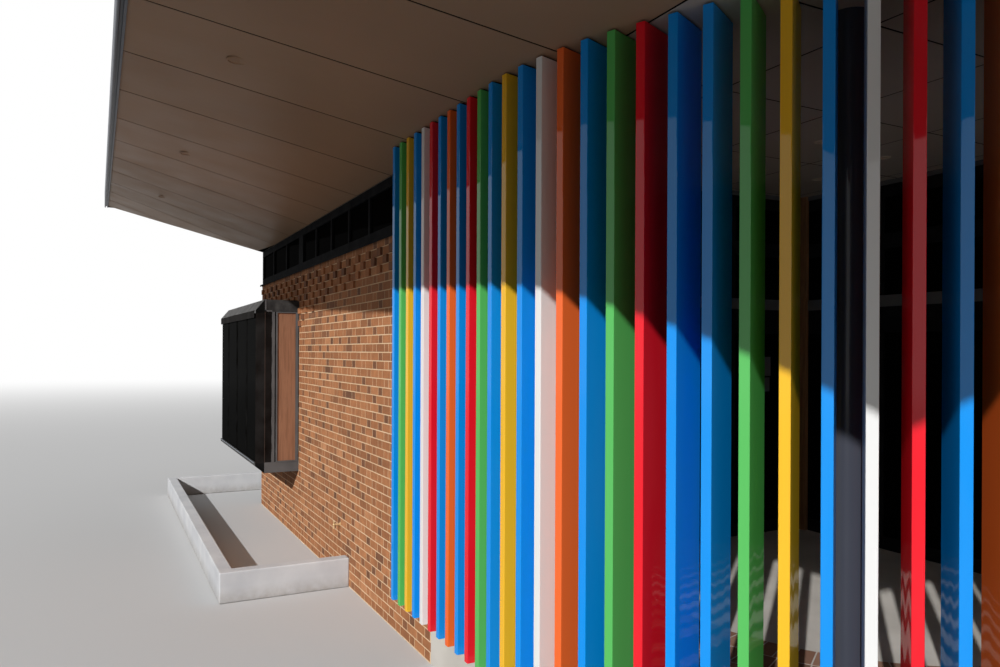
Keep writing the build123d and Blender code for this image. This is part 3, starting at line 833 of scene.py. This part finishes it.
def ceiling_panels():
    """Square sheets over the veranda and under the right-hand eave."""
    shape = Shape()
    half = panel_gap / 2
    xs = sorted({line[0] for line in joint_lines() if line[0] > side_x} | {side_x})
    ys = [front_y + i * ceiling_pitch for i in range(ceil(2 * back_y / ceiling_pitch))] + [back_y]
    for left, right in zip(xs, xs[1:]):
        for low, high in zip(ys, ys[1:]):
            low_x = left
            if high > veranda_y and right < right_x:
                high = veranda_y
            if high > veranda_y and left < right_x:
                low_x = right_x
            if high - low < 2 * panel_gap or right - low_x < 2 * panel_gap:
                continue
            ring = [
                (low_x + half, low + half),
                (right - half, low + half),
                (right - half, high - half),
                (low_x + half, high - half),
            ]
            panel(shape, ring, random.random(), 1, 1)
    shape.piece("ceiling_panels", ceiling_sheet, "ceiling")


# Fins


def bars(node):
    """Centre, direction, depth, width and foot of each upright bar in a CAD node."""
    mesh = bmesh.new()
    mesh.from_mesh(nodes[node].data)
    bmesh.ops.remove_doubles(mesh, verts=mesh.verts, dist=same_point)
    left = set(mesh.verts)
    found = []
    while left:
        group, queue = set(), [left.pop()]
        while queue:
            vertex = queue.pop()
            group.add(vertex)
            for edge in vertex.link_edges:
                other = edge.other_vert(vertex)
                if other in left:
                    left.discard(other)
                    queue.append(other)
        foot = min(v.co.z for v in group)
        corners = [v.co.copy() for v in group if v.co.z < foot + same_height]
        centre = sum(corners, Vector()) / len(corners)
        sides = [c - corners[0] for c in corners[1:]]
        sides.sort(key=lambda side: side.length)
        found.append((centre, sides[1].normalized(), sides[1].length, sides[0].length, foot))
    mesh.free()
    return sorted(found, key=lambda bar: (round(bar[0].x, 3), bar[0].y))


def rounded_ring(centre, along, depth, width, radius, steps=3):
    """Plan of a bar with rounded corners, counter-clockwise."""
    across = Vector((-along.y, along.x, 0))
    ring = []
    for k, (a, b) in enumerate(((1, 1), (-1, 1), (-1, -1), (1, -1))):
        middle = centre + along * a * (depth / 2 - radius) + across * b * (width / 2 - radius)
        for i in range(steps + 1):
            turn = pi / 2 * (k + i / steps)
            ring.append(middle + radius * (along * cos(turn) + across * sin(turn)))
    return ring


def fins(colour):
    """Hollow metal fins with rounded edges and an open foot, in place of the plain bars."""
    node = "fins_" + colour
    shape = Shape()
    for centre, along, depth, width, foot in bars(node):
        outer = rounded_ring(centre, along, depth, width, fin_edge)
        inner = rounded_ring(
            centre, along, depth - 2 * fin_wall, width - 2 * fin_wall, fin_edge - fin_wall / 2
        )
        shape.stack([
            [(p.x, p.y, foot + fin_recess) for p in inner],
            [(p.x, p.y, foot) for p in inner],
            [(p.x, p.y, foot) for p in outer],
            [(p.x, p.y, soffit_height(p.x, p.y) - panel_drop - fin_gap) for p in outer],
        ])
    paint = gloss_paint(colour + "_gloss", fin_paints[colour])
    shape.piece(colour + "_fins", paint, colour, [node])


def fin_heads():
    """A dark plate in the head of each fin, which carries it from the soffit."""
    shape = Shape()
    for colour in fin_paints:
        for centre, along, depth, width, _ in bars("fins_" + colour):
            size = (depth * fin_head_share[0], width * fin_head_share[1])
            ring = rounded_ring(centre, along, *size, fin_edge, 1)
            shape.stack([
                [(p.x, p.y, soffit_height(p.x, p.y) + lift) for p in ring]
                for lift in (-fin_head_drop, panel_sunk)
            ])
    shape.piece("fin_head_plates", joint_black, "black_frame")


# Edge of the roof


def edge_profile(width, bottom, top):
    """Section of an edge board: a folded channel with a groove between its two lower lips."""
    near, far = (share * width for share in edge_groove)
    groove = bottom + edge_groove_depth
    return [
        (0, bottom), (near, bottom), (near, groove), (far, groove),
        (far, bottom + edge_lip), (far + edge_fold, bottom), (width - edge_fold, bottom),
        (width, bottom + edge_fold), (width, top), (0, top),
    ]


def edge_boards():
    """Folded metal boards round the roof, in place of the plain ones."""
    shape = Shape()
    left_low, left_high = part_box("end_fascia")
    far_low, far_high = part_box("right_fascia")
    width = left_high.x - left_low.x
    slope = (left_low.z - far_low.z) / (left_high.x - far_low.x)
    ends = (
        (left_low, left_high, left_low.x, slope * width),
        (far_low, far_high, far_high.x, slope * (far_low.x - far_high.x)),
    )
    for sign in (1, -1):
        rings = []
        for low, high, x, fall in ends:
            profile = edge_profile(width, low.z + fall, high.z + fall)
            rings.append([(x, sign * (edge_y - out), z) for out, z in profile][::sign])
        shape.stack(rings)
    boards = ((-1, left_low, left_high, left_high.x), (1, far_low, far_high, far_low.x))
    for sign, low, high, start in boards:
        profile = edge_profile(width, low.z, high.z)
        rings = [[(start + sign * out, y, z) for out, z in profile][::sign] for y in (edge_y, -edge_y)]
        shape.stack(rings)
    shape.piece("edge_boards", charcoal, "charcoal", ["long_fascias", "end_fascia", "right_fascia"])


# Clerestory


def sill_flashings():
    """A folded strip between the brick top and the clerestory, with a drip over the bricks."""
    shape = Shape()
    profile = [(out, brick_top + up) for out, up in drip_profile]
    for face in (front_face, end_face, back_face, right_face):
        face.strip(shape, profile)
    shape.piece("clerestory_flashings", black_frame, "black_frame")


# Veranda


def edge_path(inset):
    """Runs of the line at an inset from the veranda's open edge: length, and place at a share."""
    radius = arc_radius - inset
    straight = arc_x - side_x
    rise = veranda_y - arc_y

    def front(share):
        return side_x + share * straight, front_y + inset

    def curve(share):
        turn = share * pi / 2
        return arc_x + radius * sin(turn), arc_y - radius * cos(turn)

    def side(share):
        return arc_x + radius, arc_y + share * rise

    return (straight, front), (radius * pi / 2, curve), (rise, side)


def pavers():
    """Rings of clay pavers along the veranda's open edge, with an edging course outside."""
    shape = Shape()
    rows = [(0.0, paver_width)]
    for i in range(paver_rings):
        begin = paver_width + brick_joint + i * (stretcher + brick_joint)
        rows.append((begin, begin + stretcher))
    for number, (near, far) in enumerate(rows):
        outer, inner = edge_path(near), edge_path(far)
        unit = (paver_width if number else stretcher) + brick_joint
        for (length, first), (_, second) in zip(outer, inner):
            count = max(round(length / unit), 1)
            gap = brick_joint / 2 / length
            for i in range(-1, count):
                shift = number % 2 / 2
                low = max((i + shift) / count, 0) + gap
                high = min((i + 1 + shift) / count, 1) - gap
                if high - low < 2 * gap:
                    continue
                ring = [first(low), first(high), second(high), second(low)]
                tilt = random.uniform(-paver_tilt, paver_tilt)
                heights = (floor_z - brick_sunk, floor_z + brick_proud + tilt)
                shape.stack([[(*p, z) for p in ring] for z in heights], random.random())
    shape.piece("veranda_pavers", paver_clay, "brick")


def light_fitting(shape, x, y, radius):
    """A flat round light fitting under the ceiling: a rim and a recessed glass."""
    height = soffit_height(x, y) - panel_drop
    turns = [2 * pi * i / light_steps for i in range(light_steps, 0, -1)]
    shape.stack([
        [(x + size * radius * cos(turn), y + size * radius * sin(turn), height - drop) for turn in turns]
        for size, drop in light_profile
    ])


def downlights():
    """Round light fittings in the veranda ceiling and the front eave."""
    veranda, eave = Shape(), Shape()
    for along, depth in veranda_lights:
        light_fitting(veranda, end_x + along, front_y + depth, veranda_light_radius)
    for along in eave_lights:
        light_fitting(eave, end_x + along, front_y - eave_light_out, eave_light_radius)
    veranda.piece("veranda_lights", light_trim, "ceiling")
    eave.piece("eave_lights", bronze, "soffit")


def screen_trims():
    """Grey cover strips along both screens' transoms, and ceiling trims over their heads in a grey darker
    than the ceiling sheet, as painted shade.
    """
    cover, trim = Shape(), Shape()
    low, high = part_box("veranda_frame")
    cover.box(
        (low.x + cover_lap, low.y - cover_proud, transom_cover[0]),
        (high.x - cover_lap, low.y + cover_sunk, transom_cover[1]),
    )
    trim.box(
        (side_x, low.y - ceiling_trim_proud, high.z - ceiling_trim),
        (high.x, low.y + trim_sunk, high.z - panel_drop),
    )
    low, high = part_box("side_screen_frame")
    cover.box(
        (high.x - cover_sunk, low.y + cover_lap, transom_cover[0]),
        (high.x + cover_proud, high.y - cover_proud, transom_cover[1]),
    )
    trim.box(
        (high.x - trim_sunk, low.y, high.z - ceiling_trim),
        (high.x + ceiling_trim_proud, high.y - ceiling_trim_proud, high.z - panel_drop),
    )
    cover.piece("transom_covers", grey_and_painted_shade, "flashing")
    # The ceiling trims' grey is painted shade, darker than the ceiling sheet they continue
    trim.piece("ceiling_trims", grey_and_painted_shade, "ceiling")


def notices():
    """Blank white sheets on the glass of the side screen, in a grey that is painted shade."""
    shape = Shape()
    face_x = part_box("side_screen_frame")[1].x
    for depth, bottom, top in notices_at:
        y = front_y + depth
        shape.box((face_x - notice_back, y, bottom), (face_x - notice_front, y + notice_width, top))
    shape.piece("blank_notices", grey_and_painted_shade, "flashing")


# Bay window


def bay_glass_joints():
    """Dark bands on the glass in front of the posts, with a black seal at the corner."""
    shape = Shape()
    low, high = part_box("bay_glass")
    before, after = bay_band
    proud = bay_band_proud
    for place in bay_posts:
        x = end_x + place
        shape.box((x + before, low.y - proud, low.z), (x + after, low.y + proud, high.z))
    y = front_y + bay_end_post
    shape.box((low.x - proud, y - after, low.z), (low.x + proud, y - before, high.z))
    shape.box(
        (low.x - bay_seal_proud, low.y - bay_seal_proud, low.z),
        (low.x + bay_seal, low.y + bay_seal, high.z),
    )
    shape.piece("bay_glass_joints", joint_black, "black_frame")


def bay_lip(name, finish, slot, top, depth):
    """A folded lip round the front and end of the bay."""
    shape = Shape()
    far_x, far_y = flash_high.x - bay_lip_back, flash_high.y - bay_lip_back
    out_x, out_y = flash_low.x - bay_lip_proud, flash_low.y - bay_lip_proud
    in_x, in_y = flash_low.x + bay_lip_sunk, flash_low.y + bay_lip_sunk
    shape.box((out_x, out_y, top - depth), (far_x, in_y, top))
    shape.box((out_x, in_y, top - depth), (in_x, far_y, top))
    shape.piece(name, finish, slot)


def side_trim(shape, face, reach, height, proud=bay_trim_proud):
    """A strip on a side of the bay, reach being its two distances from the wall."""
    near, far = reach
    if face is bay_near_side:
        near, far = face.length - far, face.length - near
    face.block(shape, (near, far), height, (-trim_sunk, proud))


def sealant(shape, face, height):
    """A bead of sealant run by hand, whose outer edge wanders by a few millimetres."""
    low, high = height
    near, far = bay_sealant
    for i in range(sealant_steps):
        begin, end = (low + (high - low) * k / sealant_steps for k in (i, i + 1))
        wander = sum(size * sin(i * pace + start) for size, pace, start in sealant_waves)
        side_trim(shape, face, (near, far + wander), (begin, end), bay_flat_proud)


def bay_side_trims():
    """Grey trims round the boards in the bay's sides, with lips on the head flashing above them, and a
    lighter brown strip of painted highlight down each outer corner.
    """
    shape, bead = Shape(), Shape()
    low, high = (corner.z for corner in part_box("bay_side_panel"))
    near, far = bay_board
    opening = (base_high.z, head_low.z)
    for face in (bay_near_side, bay_far_side):
        outer = face.length
        side_trim(shape, face, (bay_gap, near), (low, high))
        side_trim(shape, face, (far, far + bay_trim), (low, high))
        side_trim(shape, face, (bay_gap, far + bay_trim), (low - bay_trim, low))
        side_trim(shape, face, (bay_gap, far + bay_trim), (high, high + bay_trim / 2))
        sealant(shape, face, opening)
        lip = (head_low.z, head_low.z + bay_trim)
        side_trim(shape, face, (outer - bay_trim, outer), (head_low.z, head_high.z), bay_flat_proud)
        side_trim(shape, face, (bay_sealant[1], outer), lip, bay_flat_proud)
        sill = (base_low.z + bay_sill_rise, base_high.z)
        side_trim(shape, face, (bay_sill_start, outer), sill, bay_sill_proud)
        # Painted highlight: a lighter brown strip down the edge of the bay's outer corner
        side_trim(bead, face, (outer - bay_highlight_strip, outer), opening, bay_highlight_strip_proud)
    bead.piece("bay_corner_beads", bead_brown, "brown_metal")
    shape.piece("bay_side_trims", trim_grey, "flashing")


def bay_shadow_gaps():
    """Black strips of painted shade in the gaps beside the wall, and black plates of painted shade over the
    open ends of the bay's flashings.
    """
    shape = Shape()
    for face in (bay_near_side, bay_far_side):
        for reach in ((0, bay_gap), (bay_board[1] + bay_trim, bay_sealant[0])):
            side_trim(shape, face, reach, (base_high.z, head_low.z), bay_painted_shade_proud)
    head = [(0, flash_low.z), (1, flash_low.z), (1, bay_slope_top), (0, flash_high.z)]
    sill = [(0, sill_low.z), (1, bay_slope_bottom), (1, sill_high.z), (0, sill_high.z)]
    cut = bay_corner_cut
    ends = (
        (-1, (head_high.x, head_low.y), (head_high.x - cut, flash_low.y)),
        (1, (head_low.x, head_high.y), (flash_low.x, head_high.y - cut)),
    )
    for turn, inner, outer in ends:
        along = Vector((*outer, 0)) - Vector((*inner, 0))
        out = Vector((along.y, -along.x, 0)).normalized() * turn
        for profile in (head, sill):
            shape.stack([
                [Vector((*inner, z)) + along * t + out * lift for t, z in profile][::turn]
                for lift in (shade_plate_back, shade_plate_front)
            ])
    shape.piece("bay_shadow_gaps", joint_black, "black_frame")


# Planter


def planter():
    """Rendered walls with worn round edges, in place of the plain ones."""
    low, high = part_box("planter")
    wall = planter_wall
    ring = [
        (high.x, low.y), (low.x, low.y), (low.x, high.y), (end_x, high.y), (end_x, high.y - wall),
        (low.x + wall, high.y - wall), (low.x + wall, low.y + wall), (high.x - wall, low.y + wall),
        (high.x - wall, front_y), (high.x, front_y),
    ]
    shape = Shape()
    shape.stack([[(*p, z) for p in ring] for z in (low.z, high.z)])
    piece = shape.piece("planter_walls", planter_render, "render", ["planter"])
    edges = piece.modifiers.new("worn_edges", "BEVEL")
    edges.width = planter_round
    edges.segments = planter_round_steps


# Stage: floor, light and camera


def stage():
    """A pale floor that turns white far away, where the camera sees it."""
    mesh = bpy.data.meshes.new("floor")
    size = floor_half
    corners = [(-size, -size, 0), (size, -size, 0), (size, size, 0), (-size, size, 0)]
    mesh.from_pydata(corners, [], [(0, 1, 2, 3)])
    floor = placed("floor", mesh)
    finish = Finish("pale_floor", roughness=0.9, Specular_IOR_Level=0)
    seen = finish.seen()
    finish.colour(finish.spread(seen, 0, 1, floor_given_back, floor_seen))
    away = finish.node("ShaderNodeVectorMath", operation="LENGTH")
    finish.link(finish.places, away.inputs[0])
    fade = (floor_fade_begin, floor_fade_end)
    share = finish.spread(away.outputs["Value"], *fade, interpolation_type="SMOOTHSTEP")
    white = finish.node("ShaderNodeEmission")
    mix = finish.node("ShaderNodeMixShader")
    finish.link(finish.product(share, seen), mix.inputs["Fac"])
    finish.link(finish.shader.outputs["BSDF"], mix.inputs[1])
    finish.link(white.outputs["Emission"], mix.inputs[2])
    finish.link(mix.outputs["Shader"], finish.tree.nodes["Material Output"].inputs["Surface"])
    mesh.materials.append(finish.material)


def world():
    """Pale light from all round, weaker near the horizon. The camera, metal and glass see it white."""
    studio = bpy.data.worlds.new("studio")
    bpy.context.scene.world = studio
    shading = Shading(studio)
    axes = shading.node("ShaderNodeSeparateXYZ")
    shading.link(shading.node("ShaderNodeTexCoord").outputs["Generated"], axes.inputs[0])
    fill = shading.spread(axes.outputs["Z"], 0, sky_high_from, sky_low, sky_high)
    background = shading.tree.nodes["Background"]
    shading.link(shading.spread(shading.seen(), 0, 1, fill, 1.0), background.inputs["Strength"])
    background.inputs["Color"].default_value = (1, 1, 1, 1)


def sun():
    """The low sun of the photograph, from the front right."""
    data = bpy.data.lights.new("key_lamp", "SUN")
    data.energy = sun_strength
    data.angle = radians(sun_softness)
    lamp = placed("key_lamp", data)
    lamp.rotation_mode = "QUATERNION"
    lamp.rotation_quaternion = Vector(sun_direction).to_track_quat("-Z", "Y")


def camera():
    """The photograph's view, level, from in front of the roof's right-hand corner."""
    data = bpy.data.cameras.new("camera")
    data.lens = camera_lens
    data.shift_y = camera_shift
    data.clip_end = 2 * floor_half
    view = placed("camera", data)
    view.location = (end_x + camera_right, front_y - camera_front, camera_height)
    view.rotation_euler = Vector(camera_direction).to_track_quat("-Z", "Y").to_euler()
    view.rotation_euler.rotate_axis("Z", camera_roll)
    bpy.context.scene.camera = view


# The pieces, made in an order that also sets the random draws

random.seed(7)
bay_hole_front = (0, base_high.x - end_x, base_low.z, head_high.z)
bay_hole_end = (end_face.length - (base_high.y - front_y), end_face.length, base_low.z, head_high.z)
brickwork("front_bricks", front_face, 0, brick_top, [bay_hole_front], front_proud_rows)
brickwork("end_bricks", end_face, 0, brick_top, [bay_hole_end], proud_rows)
brickwork("back_bricks", back_face, 0, brick_top, window_holes(), proud_rows)
brickwork("right_bricks", right_face, 0, brick_top, (), proud_rows)
brickwork("side_bricks", side_face, floor_z, brick_top)
brickwork("return_bricks", return_face, 0, brick_top)
random.seed(11)
eave_panels("front_eave_panels", 1)
eave_panels("back_eave_panels", -1)
end_panels()
ceiling_panels()
for colour in fin_paints:
    fins(colour)
fin_heads()
edge_boards()
sill_flashings()
random.seed(23)
pavers()
downlights()
screen_trims()
notices()
bay_glass_joints()
bay_lip("bay_head_lip", brown_metal, "brown_metal", bay_slope_top, bay_head_lip)
# The sill's lip is painted paler than its flashing: a painted highlight along its top edge
bay_lip("bay_sill_lip", sill_highlight_grey, "flashing", sill_high.z, bay_sill_lip)
bay_side_trims()
bay_shadow_gaps()
planter()

bpy.context.scene.view_settings.view_transform = "Standard"
stage()
world()
sun()
camera()
